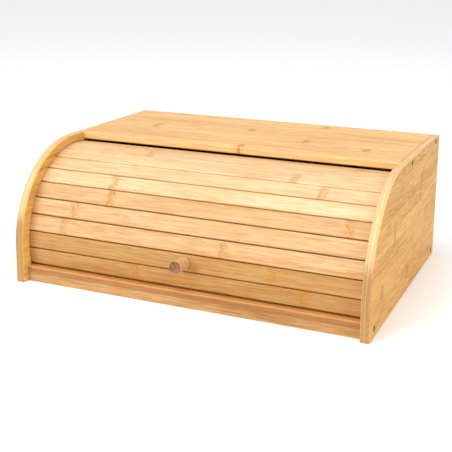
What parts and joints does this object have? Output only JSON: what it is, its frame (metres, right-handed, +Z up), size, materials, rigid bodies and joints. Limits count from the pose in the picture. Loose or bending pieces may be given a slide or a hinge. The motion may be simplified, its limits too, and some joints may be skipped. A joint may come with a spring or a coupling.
{
  "type": "bread box",
  "caption": "Roll-top bread box: a curtain of slats with a turned knob runs back in grooves in the side panels to open the case.",
  "frame": {"origin": "centre of the whole footprint, the knob included, on the surface that the box stands on", "axes": "+X along the slats to the right as seen from the front, -Y towards the front with the knob, +Z up"},
  "size_m": [0.4, 0.3026, 0.147],
  "materials": {
    "bamboo_side": "clear satin lacquer",
    "bamboo_board": "clear satin lacquer",
    "bamboo_rail": "clear satin lacquer",
    "bamboo_slat": "clear satin lacquer",
    "knob_wood": "clear satin lacquer",
    "canvas": "plain weave, glued down",
    "screw_metal": "dull yellow plating"
  },
  "bodies": {
    "case": {"side_panel_left": "bamboo_side", "side_panel_right": "bamboo_side", "top_board": "bamboo_board", "base_board": "bamboo_board", "back_panel": "bamboo_board", "front_rail": "bamboo_rail", "panel_screws_left": "screw_metal", "panel_screws_right": "screw_metal"},
    "roll_top": {"slat_01": "bamboo_slat", "slat_02": "bamboo_slat", "slat_03": "bamboo_slat", "slat_04": "bamboo_slat", "slat_05": "bamboo_slat", "slat_06": "bamboo_slat", "slat_07": "bamboo_slat", "slat_08": "bamboo_slat", "slat_09": "bamboo_slat", "slat_10": "bamboo_slat", "slat_11": "bamboo_slat", "canvas_backing": "canvas", "knob": "knob_wood", "knob_screw": "screw_metal"}
  },
  "joints": [
    {"name": "roll_top_turn", "type": "hinge", "parent": "case", "child": "roll_top", "pos_m": [0, -0.03193, 0.039], "axis": [-1, 0, 0], "range_deg": [0, 82.7]}
  ]
}
